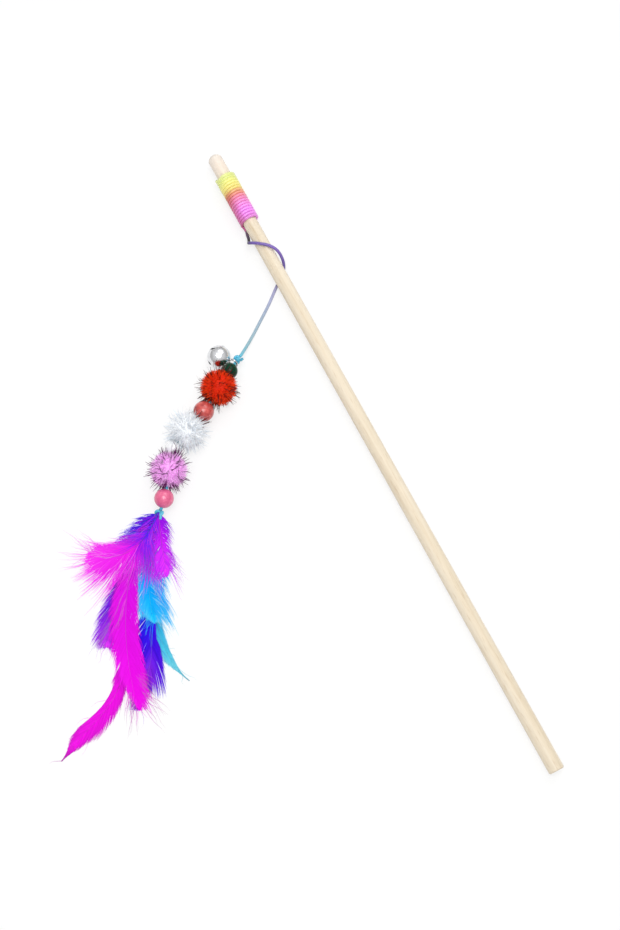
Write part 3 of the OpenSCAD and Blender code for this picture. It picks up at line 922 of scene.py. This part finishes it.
def make_collar(pompom, bead, slot_name, tinsel, count):
    """Foil strands that lie over the bead next to a pompom."""
    at, hollow = spin_at(pompom), hollow_for(pompom, bead)
    way = (hollow[0] - at).normalized()
    across = way.orthogonal().normalized()
    lift = way.cross(across)
    runs = []
    for _ in range(count):
        lean, turn = rng.uniform(*COLLAR_LEAN), rng.uniform(0, 2 * math.pi)
        aside = math.cos(turn) * across + math.sin(turn) * lift
        aim = (math.cos(lean) * way + math.sin(lean) * aside).normalized()
        runs.append(strand_run(at, aim, POMPOM_R * FOIL["start"], POMPOM_R + rng.uniform(*COLLAR_PAST) * MM,
                               rng.normal(0, COLLAR_CURL) * MM, rng.uniform(*COLLAR_WIDTH) * MM, [hollow],
                               rng.uniform(0, 1)))
    name = pompom + "_at_" + bead
    finish_piece(lay_strips(name, runs, STRIP), name, pompom, slot_name, tinsel)


def make_pompoms():
    dyes = {name: strand_material(name, *values) for name, values in STRAND_DYES.items()}
    for name in POMPOM_FOIL:
        colour = name.removesuffix("_pompom")
        make_pompom(name, colour + "_tinsel", dyes[colour + "_fluff"], dyes[colour + "_foil"])
    for pompom, bead, dye, count in COLLARS:
        make_collar(pompom, bead, pompom.removesuffix("_pompom") + "_tinsel", dyes[dye], count)


# Feathers: each quill runs from the lower knot along a bending line in its own layer on the table

FEATHER_STEPS = 120
MIDDLE_ORDER = 4
BARB_FLOOR = 0.12 * MM


@dataclass
class Feather:
    """One feather, its lengths given in millimetres and its angles in degrees."""

    length: float
    width: float
    # The quill's heading at the knot, how far it bends by the tip and how late the bend comes
    heading: float
    bend: float
    power: float
    # The share of the quill that has no vane, the quill's place in the knot and the layer it lies in
    bare_share: float
    order: int
    layer: int
    slot: str
    # The barbs' lean, how unevenly and how bluntly they end, and the share of the vane that is fluffy
    lean: float
    loose: float
    blunt: float
    fluff: float
    # How many tufts of down and stray hairs it has, and how thickly its barbs are set
    down: int
    strays: int
    fullness: float = 1
    # A wave to the side: its size, the share of the quill where it starts and its turns
    sway: tuple = (0, 0, 1)
    # Values evenly along the vane: how far both its sides reach, and how much more the left one does
    girth: tuple = (1, 1)
    skew: tuple = (0, 0)

    def __post_init__(self):
        self.length *= MM
        self.width *= MM
        self.vane = 1 - self.bare_share
        self.lay_quill()

    def heading_at(self, share):
        return np.radians(self.heading + self.bend * share ** self.power)

    def lay_quill(self):
        """Sets the quill's spots and headings at even shares of its length, from the knot to the tip."""
        each = self.length / FEATHER_STEPS
        middles = (np.arange(FEATHER_STEPS) + 0.5) / FEATHER_STEPS
        angles = self.heading_at(np.append(0.0, middles))
        lengths = np.append(QUILL_T, np.full(FEATHER_STEPS, each))
        steps = lengths[:, None] * np.stack([np.cos(angles), np.sin(angles)], axis=-1)
        self.shares = np.linspace(0, 1, FEATHER_STEPS + 1)
        headings = self.heading_at(self.shares)
        left = np.stack([-np.sin(headings), np.cos(headings)], axis=-1)
        amount, start, turns = self.sway
        late = np.clip((self.shares - start) / (1 - start), 0, 1)
        aside = amount * MM * np.sin(2 * math.pi * turns * late)
        self.spots = np.cumsum(steps, axis=0) + aside[:, None] * left
        self.headings = headings + np.arctan2(np.gradient(aside), each)

    def at(self, u):
        x = np.interp(u, self.shares, self.spots[:, 0])
        y = np.interp(u, self.shares, self.spots[:, 1])
        return np.stack([x, y], axis=-1)

    def way(self, u):
        angle = np.interp(u, self.shares, self.headings)
        return np.stack([np.cos(angle), np.sin(angle)], axis=-1)

    def vane_place(self, u):
        """Where a point of the quill lies on its vane, from 0 at the vane's start to 1."""
        return (u - self.bare_share) / self.vane

    def height(self, flat):
        """The layer's height over the table at a point given from the knot."""
        root = LOWER_KNOT.z + (self.order - MIDDLE_ORDER) * QUILL_STEP
        lay = QUILL_T / 2 + self.layer * FEATHER_LAYER
        share = np.minimum(np.linalg.norm(flat, axis=-1) / DROOP_REACH, 1)
        return ease(root, lay, share)

    def solid(self, flat, lift):
        z = np.maximum(self.height(flat) + lift, BARB_FLOOR)
        return np.stack([flat[..., 0] + LOWER_KNOT.x, flat[..., 1] + LOWER_KNOT.y, z], axis=-1)


FEATHERS = {
    "long_feather": Feather(
        length=159, width=13, heading=146, bend=-41, power=2.2, bare_share=0.5, order=0, layer=0,
        slot="magenta_feather", lean=30, loose=0.04, blunt=0, fluff=0.06, down=0, strays=10,
        sway=(1.6, 0.6, 1), girth=(0.8, 0.66, 1.08, 1.0, 0.6)),
    "turquoise_feather": Feather(
        length=107, width=7, heading=148, bend=58, power=2.5, bare_share=0.5, order=1, layer=0,
        slot="turquoise_feather", lean=22, loose=0.04, blunt=0, fluff=0.3, down=0, strays=8,
        girth=(1.1, 1.1, 0.9, 0.6, 0.3)),
    "left_feather": Feather(
        length=86, width=15, heading=120, bend=26, power=1, bare_share=0.35, order=2, layer=1,
        slot="purple_feather", lean=40, loose=0.16, blunt=0.85, fluff=0.3, down=10, strays=26,
        girth=(1, 1, 1.05, 1.2, 1.4)),
    "blue_feather": Feather(
        length=117, width=18, heading=150, bend=-4, power=6, bare_share=0.45, order=3, layer=1,
        slot="blue_feather", lean=34, loose=0.08, blunt=0.1, fluff=0.25, down=10, strays=16,
        sway=(1.8, 0.6, 0.75), skew=(-0.7, -0.6, -0.3, 0.35, -0.1, -0.7, -0.9)),
    "violet_feather": Feather(
        length=28, width=13, heading=104, bend=10, power=1, bare_share=0.1, order=4, layer=2,
        slot="violet_feather", lean=44, loose=0.2, blunt=0.9, fluff=0.7, down=60, strays=30,
        skew=(-0.1, -0.1)),
    "cyan_feather": Feather(
        length=67, width=22, heading=134.6, bend=34.4, power=1, bare_share=0.3, order=5, layer=2,
        slot="cyan_feather", lean=46, loose=0.2, blunt=0.7, fluff=0.6, down=130, strays=50,
        fullness=1.3, skew=(0.2, 0.2)),
    "centre_feather": Feather(
        length=123, width=18, heading=93, bend=78, power=0.4, bare_share=0.22, order=6, layer=3,
        slot="magenta_feather", lean=38, loose=0.14, blunt=0.55, fluff=0.4, down=70, strays=50,
        fullness=1.3, skew=(-0.1, 0.4)),
    "right_feather": Feather(
        length=38, width=18, heading=156, bend=11, power=1, bare_share=0.1, order=7, layer=3,
        slot="purple_feather", lean=46, loose=0.24, blunt=0.7, fluff=0.8, down=60, strays=44,
        skew=(-0.25, -0.25)),
    "plume_feather": Feather(
        length=55, width=30, heading=130, bend=-96, power=1.5, bare_share=0.25, order=8, layer=4,
        slot="magenta_feather", lean=50, loose=0.29, blunt=0.75, fluff=0.9, down=60, strays=90,
        fullness=2.2, skew=(0.25, 0.25)),
}

# The outline of a vane: the share of its half width at a share of its length
VANE_SHARES = [(0, 0), (0.12, 0.5), (0.3, 0.88), (0.5, 1), (0.7, 0.9), (0.85, 0.6), (1, 0.04)]
BARB_SPACING = 0.3 * MM
BARB_STRAIGHTENS = 0.5
BARB_RIPPLES = 7
BARB_ARCH = 0.25 * MM
BARB_TILT = 0.25
SHORTEST_TRY = 0.3 * MM
SHORTEST_BARB = 0.5 * MM
PAST_THE_TIP = 0.6 * MM
HALVINGS = 14

# Barbs stand off more where the vane is fluffy and lie closer towards the tip
FLUFFY_LEAN = 0.4
TIP_LEAN = 0.3
LEAN_SCATTER = 22
LEAN_LIMITS = (12, 78)

# How far a loose vane's reach strays from barb to barb, and how it swells and shrinks along the vane
REACH_SCATTER = 0.6
CLUMP_DEPTH = 0.6
CLUMP_WAVE = 31
CLUMP_SIDE_SHIFT = 2.1
CLUMP_SKEW = 3
CLUMP_SKEW_WAVE = 11

# A barb's width in spacings, and its sag and ripple in millimetres
BARB_WIDTH = 2.4
FLUFFY_NARROWS = 0.9
BARB_SAG = 0.35
FIRM_SAG_SHARE = 0.3
BARB_RIPPLE = 1

# Down starts near the knot and runs a little into the vane
DOWN_START = 0.03
DOWN_INTO_VANE = 0.1
DOWN_LEAN = (24, 62)
DOWN_REACH = (5, 13)
DOWN_WIDTH = 0.55 * MM
DOWN_SCATTER = 0.5

# Strays reach a share of the vane's half width and some millimetres more
STRAY_LEAN = (16, 60)
STRAY_SHARE = (0.9, 1.25)
STRAY_PAST = (1, 5)
STRAY_NARROWEST = 0.3
STRAY_WIDTH = 0.22 * MM
LONGEST_STRAY = 24 * MM
STRAY_LIFT = 1
HAIR_RIPPLE = 0.8


def vane_share(t):
    return float(np.interp(t, [place for place, _ in VANE_SHARES], [share for _, share in VANE_SHARES]))


def spread_along(t, values):
    """The value at the share t of a vane, from values that lie evenly along it."""
    return np.interp(t, np.linspace(0, 1, len(values)), values)


def barb_spans(lean, t):
    """How far a barb of length 1 has gone along and across the quill by the share t of its run."""
    turn = BARB_STRAIGHTENS * lean
    return ((np.sin(lean) - np.sin(lean - turn * t)) / turn, (np.cos(lean - turn * t) - np.cos(lean)) / turn)


def barb_reach(feather, u, lean):
    """The length at which a barb from the quill at u ends on the outline, or past it on a blunt feather."""
    ahead, aside = barb_spans(lean, 1.0)
    half = feather.width / 2
    furthest = ((1 - u) * feather.length + PAST_THE_TIP) / ahead
    past = min(half * vane_share(feather.vane_place(u)) / aside, furthest)
    short, long = SHORTEST_TRY, furthest
    for _ in range(HALVINGS):
        reach = (short + long) / 2
        t = feather.vane_place(u + ahead * reach / feather.length)
        if aside * reach < half * vane_share(t):
            short = reach
        else:
            long = reach
    return max(short + feather.blunt * max(past - short, 0), SHORTEST_BARB)


def barb_run(feather, u, sign, lean, reach, width, sag, wave):
    """A barb that leaves the quill at u and sweeps towards the feather's tip."""
    root = feather.at(u)
    forward = feather.way(u)
    side = sign * np.array((-forward[1], forward[0]))
    across = math.cos(lean) * side - math.sin(lean) * forward
    phase = rng.uniform(0, 2 * math.pi)

    def line(t):
        ahead, aside = barb_spans(lean, t)
        flat = root + reach * (ahead[:, None] * forward + aside[:, None] * side)
        ripple = wave * t * np.sin(phase + BARB_RIPPLES * t)
        return feather.solid(flat + ripple[:, None] * across, sag * t * t + BARB_ARCH * np.sin(math.pi * t))
    return {"line": line, "side": np.array((across[0], across[1], BARB_TILT)), "width": width,
            "own": rng.uniform(0, 1), "place": u}


def clump_share(feather, t, sign):
    """Barbs cling together in clumps, so their reach swells and shrinks along a loose vane."""
    phase = CLUMP_WAVE * t + CLUMP_SIDE_SHIFT * sign + CLUMP_SKEW * math.sin(CLUMP_SKEW_WAVE * t)
    return 1 + CLUMP_DEPTH * feather.loose * math.sin(phase)


def vane_runs(feather):
    """The barbs of both vanes: tight near the tip, soft and uneven near the knot."""
    loose = feather.loose
    count = int(feather.length * feather.vane / BARB_SPACING * feather.fullness)
    runs = []
    for i in range(count):
        t = (i + 0.5) / count
        u = feather.bare_share + feather.vane * t
        fluffy = max(0.0, 1 - t / feather.fluff)
        for sign in (-1, 1):
            lean = feather.lean * (1 + FLUFFY_LEAN * fluffy - TIP_LEAN * t)
            lean += rng.normal(0, LEAN_SCATTER * loose)
            lean = math.radians(np.clip(lean, *LEAN_LIMITS))
            reach = barb_reach(feather, u, lean) * clump_share(feather, t, sign)
            reach *= 1 + rng.normal(0, loose * REACH_SCATTER)
            reach *= 1 + sign * spread_along(t, feather.skew)
            reach *= spread_along(t, feather.girth)
            width = BARB_SPACING * (BARB_WIDTH - FLUFFY_NARROWS * fluffy)
            sag = rng.normal(0, BARB_SAG) * MM * (FIRM_SAG_SHARE + fluffy)
            wave = rng.normal(0, BARB_RIPPLE) * MM * loose
            runs.append(barb_run(feather, u, sign, lean, reach, width, sag, wave))
    return runs


def down_runs(feather):
    """Down on the bare quill."""
    runs = []
    for _ in range(feather.down):
        u = rng.uniform(DOWN_START, feather.bare_share + DOWN_INTO_VANE)
        sign = rng.choice((-1, 1))
        lean = math.radians(rng.uniform(*DOWN_LEAN))
        runs.append(barb_run(feather, u, sign, lean, rng.uniform(*DOWN_REACH) * MM, DOWN_WIDTH,
                             rng.normal(0, DOWN_SCATTER) * MM, rng.normal(0, DOWN_SCATTER) * MM))
    return runs


def stray_runs(feather):
    """Long stray hairs out of the vane."""
    runs = []
    for _ in range(feather.strays):
        t = rng.uniform(0.0, 1.0)
        half = feather.width / 2 * max(vane_share(t), STRAY_NARROWEST)
        lean = math.radians(rng.uniform(*STRAY_LEAN))
        reach = half / barb_spans(lean, 1.0)[1] * rng.uniform(*STRAY_SHARE) + rng.uniform(*STRAY_PAST) * MM
        sign = rng.choice((-1, 1))
        runs.append(barb_run(feather, feather.bare_share + feather.vane * t, sign, lean,
                             min(reach, LONGEST_STRAY), STRAY_WIDTH, abs(rng.normal(0, STRAY_LIFT)) * MM,
                             rng.normal(0, HAIR_RIPPLE) * MM))
    return runs


# Thin hairs that fan out of a feather: their colours at the root and the end, and for each fan how many
# hairs, from which shares of the quill, to which side, how steep in degrees and how long in millimetres
WISPS = {
    "centre_feather": ((236, 20, 228), (172, 124, 166), [
        (20, (0.78, 0.96), 1, (30, 66), (18, 30)),
        (14, (0.82, 0.97), -1, (6, 36), (14, 26)),
        (6, (0.36, 0.5), -1, (12, 26), (20, 28))]),
    "left_feather": ((150, 30, 224), (184, 136, 190), [(14, (0.66, 0.92), -1, (10, 40), (12, 20))]),
    "plume_feather": ((250, 40, 244), (240, 170, 238), [
        (18, (0.6, 0.95), -1, (10, 40), (12, 20)),
        (24, (0.4, 0.95), 1, (20, 70), (16, 26))]),
    "right_feather": ((176, 40, 226), (214, 170, 226), [(14, (0.4, 0.9), 1, (24, 60), (12, 20))]),
    "cyan_feather": ((60, 200, 248), (190, 238, 246), [(26, (0.5, 0.95), 1, (24, 60), (12, 20))]),
    "violet_feather": ((84, 40, 226), (190, 180, 234), [(12, (0.4, 0.9), -1, (20, 60), (8, 13))]),
}
WISP_DARK = (150, 110, 150)
WISP_WIDTH = 0.3 * MM
WISP_LIFT = 1.5


def wisp_runs(feather, fans):
    runs = []
    for count, span, side, steep, reach in fans:
        for _ in range(count):
            u = rng.uniform(*span)
            lean = math.radians(rng.uniform(*steep))
            runs.append(barb_run(feather, u, side, lean, rng.uniform(*reach) * MM, WISP_WIDTH,
                                 rng.uniform(0, WISP_LIFT) * MM, rng.normal(0, HAIR_RIPPLE) * MM))
    return runs


def make_wisps():
    for name, (root, tip, fans) in WISPS.items():
        material = strand_material(name + "_wisp_dye", root, tip, WISP_DARK, dark_share=0.3, rough=0.5)
        hairs = lay_strips(name + "_wisps", wisp_runs(FEATHERS[name], fans), FINE_STRIP)
        finish_piece(hairs, name + "_wisps", "feathers", FEATHERS[name].slot, material)


# For each feather: its dye from the knot to its tip, the tint of its barbs' ends and its dark streaks
DYES = {
    "long_feather": (
        [(0.5, (214, 16, 214)), (0.66, (236, 12, 226)), (0.92, (240, 16, 228)), (1.0, (150, 26, 146))],
        (206, 40, 200), (186, 12, 180)),
    "turquoise_feather": (
        [(0.5, (20, 160, 222)), (0.75, (70, 196, 226)), (0.9, (112, 206, 222)), (1.0, (84, 150, 164))],
        (150, 226, 236), (50, 150, 190)),
    "left_feather": (
        [(0.3, (66, 10, 200)), (0.66, (100, 18, 218)), (0.86, (172, 36, 234)), (1.0, (240, 60, 246))],
        (190, 70, 240), (62, 8, 170)),
    "blue_feather": (
        [(0.4, (16, 40, 236)), (0.58, (40, 0, 232)), (0.68, (70, 10, 228)), (0.76, (122, 34, 232)),
         (0.88, (176, 44, 220)), (1.0, (196, 44, 212))],
        (112, 40, 226), (28, 0, 160)),
    "violet_feather": ([(0.0, (74, 26, 216)), (1.0, (96, 40, 240))], (132, 84, 248), (52, 10, 180)),
    "cyan_feather": (
        [(0.0, (104, 16, 224)), (0.22, (70, 30, 228)), (0.34, (0, 120, 236)), (0.55, (0, 156, 243)),
         (1.0, (10, 198, 248))],
        (128, 238, 254), (0, 112, 224)),
    "centre_feather": (
        [(0.1, (96, 18, 226)), (0.24, (118, 19, 230)), (0.34, (214, 8, 226)), (1.0, (242, 8, 234))],
        (244, 26, 240), (200, 4, 194)),
    "right_feather": (
        [(0.0, (140, 10, 218)), (0.3, (196, 14, 238)), (1.0, (240, 58, 252))],
        (176, 56, 236), (112, 8, 212)),
    "plume_feather": (
        [(0.0, (56, 26, 232)), (0.26, (76, 30, 236)), (0.38, (120, 20, 228)), (0.47, (230, 20, 232)),
         (1.0, (250, 52, 244))],
        (255, 96, 252), (226, 20, 216)),
}
QUILL_END = 0.98
QUILL_RINGS = 60
QUILL_SIDES = 8
QUILL_LIFT = 0.1 * MM
QUILL_ROOT_R = 0.4
QUILL_THINS = 0.34


def quill_radius(share):
    return (QUILL_ROOT_R - QUILL_THINS * share) * MM


def make_feather(name, feather, vane_dye, quill_dye):
    runs = vane_runs(feather) + down_runs(feather) + stray_runs(feather)
    barbs = lay_strips(name, runs, FINE_STRIP)
    finish_piece(barbs, name + "_vane", "feathers", feather.slot, vane_dye, name)
    line = feather.solid(feather.at(np.linspace(0, QUILL_END, QUILL_RINGS)), QUILL_LIFT)
    quill = tube(name, [Vector(point) for point in line], quill_radius, QUILL_SIDES)
    finish_piece(quill, name + "_quill", "feathers", feather.slot, quill_dye)


def make_feathers():
    for name, feather in FEATHERS.items():
        stops, edge, dark = DYES[name]
        vane = feather_material(name + "_dye", stops, edge, dark)
        make_feather(name, feather, vane, quill_material(name + "_quill_dye", stops))


# Materials of the pieces that keep their CAD solids

def paint_cad():
    """After its colours, each material has its roughness, how much that varies and, on a bead, its gloss."""
    shell = bell_material()
    paints = {
        "dowel": birch_material(),
        "green_bead": bead_material("green_gloss", (0, 66, 42), (0, 36, 22), 0.14, 0.1, 0.02),
        "coral_bead": bead_material("coral_gloss", (214, 92, 86), (160, 42, 44), 0.2, 0.12, 0.4),
        "white_bead": bead_material("white_gloss", (246, 246, 246), (232, 234, 238), 0.18, 0.12, 0.4),
        "pink_bead": bead_material("pink_gloss", (234, 112, 152), (208, 82, 126), 0.2, 0.12, 0.4),
        "bell_eye": nickel_material("nickel_wire", (0.62, 0.63, 0.65, 1), 0.16, 0.15),
        "bell_ball": nickel_material("plain_steel", (0.35, 0.35, 0.36, 1), 0.35, 0.2),
        "bell_upper_shell": shell,
        "bell_lower_shell": shell,
    }
    for name, material in paints.items():
        data = nodes[name].data
        data.materials.clear()
        data.materials.append(material)


# Floor, lights and world

FLOOR_SIZE = 8
FLOOR_GREY = 0.9
FLOOR_GLOW = 0.72
SURROUND_LIGHT = 0.48
MIRROR_LOW = 0.42
MIRROR_RISE = 0.5


def seen_rays(tree):
    """The light path's outputs, and 1 for the rays by which the surroundings are seen."""
    path = add_node(tree, "ShaderNodeLightPath").outputs
    beyond = math_node(tree, "MAXIMUM", path["Is Glossy Ray"], path["Is Transmission Ray"])
    return path, math_node(tree, "MAXIMUM", path["Is Camera Ray"], beyond)


def make_stage():
    """A pale floor that glows white only to the rays that see it."""
    floor = add_primitive(bpy.ops.mesh.primitive_plane_add, size=FLOOR_SIZE, location=(0, 0, 0))
    floor.name = "floor"
    material, tree, shader = new_material("pale_floor")
    feed_all(tree, shader, {"Base Color": grey(FLOOR_GREY), "Roughness": 0.9})
    lit = add_node(tree, "ShaderNodeEmission")
    feed_all(tree, lit, {"Color": grey(1), "Strength": 1.0})
    mix = add_node(tree, "ShaderNodeMixShader")
    _, seen = seen_rays(tree)
    glow = math_node(tree, "MULTIPLY", seen, FLOOR_GLOW)
    for socket, value in zip(mix.inputs, (glow, shader.outputs[0], lit.outputs[0])):
        feed(tree, socket, value)
    feed(tree, tree.nodes["Material Output"].inputs["Surface"], mix.outputs[0])
    floor.data.materials.append(material)


def make_light(name, place, size, power):
    """A round lamp that shines on the object."""
    data = bpy.data.lights.new(name, "AREA")
    data.shape = "DISK"
    data.size = size
    data.energy = power
    lamp = bpy.data.objects.new(name, data)
    bpy.context.scene.collection.objects.link(lamp)
    lamp.location = place
    lamp.rotation_mode = "QUATERNION"
    lamp.rotation_quaternion = (-Vector(place)).to_track_quat("-Z", "Y")


def make_world():
    """White to the camera, brighter overhead in a mirror, and dimmer as light on the object."""
    world = bpy.data.worlds.new("studio")
    bpy.context.scene.world = world
    world.use_nodes = True
    tree = world.node_tree
    path, seen = seen_rays(tree)
    direction = add_node(tree, "ShaderNodeTexCoord").outputs["Generated"]
    overhead = math_node(tree, "MAXIMUM", split_place(tree, direction)[2], 0.0)
    mirrored = math_node(tree, "MULTIPLY", path["Is Glossy Ray"],
                         math_node(tree, "MULTIPLY_ADD", overhead, MIRROR_RISE, MIRROR_LOW))
    lit = math_node(tree, "MULTIPLY", math_node(tree, "SUBTRACT", 1.0, seen), SURROUND_LIGHT)
    behind = math_node(tree, "MAXIMUM", path["Is Camera Ray"], path["Is Transmission Ray"])
    feed_all(tree, tree.nodes["Background"], {
        "Color": grey(1),
        "Strength": math_node(tree, "ADD", math_node(tree, "ADD", mirrored, lit), behind)})


make_camera()
make_cord(make_winding())
knot_satin = satin_material("dyed_knots", KNOT_DYE)
make_knots(knot_satin)
make_string(knot_satin)
make_pompoms()
make_feathers()
make_wisps()
paint_cad()
make_stage()
make_light("key_light", place=(-0.1, 0, 1.35), size=0.9, power=11.5)
make_light("fill_light", place=(0.5, -0.7, 1.0), size=0.8, power=3.5)
make_world()
bpy.context.scene.view_settings.view_transform = "Standard"
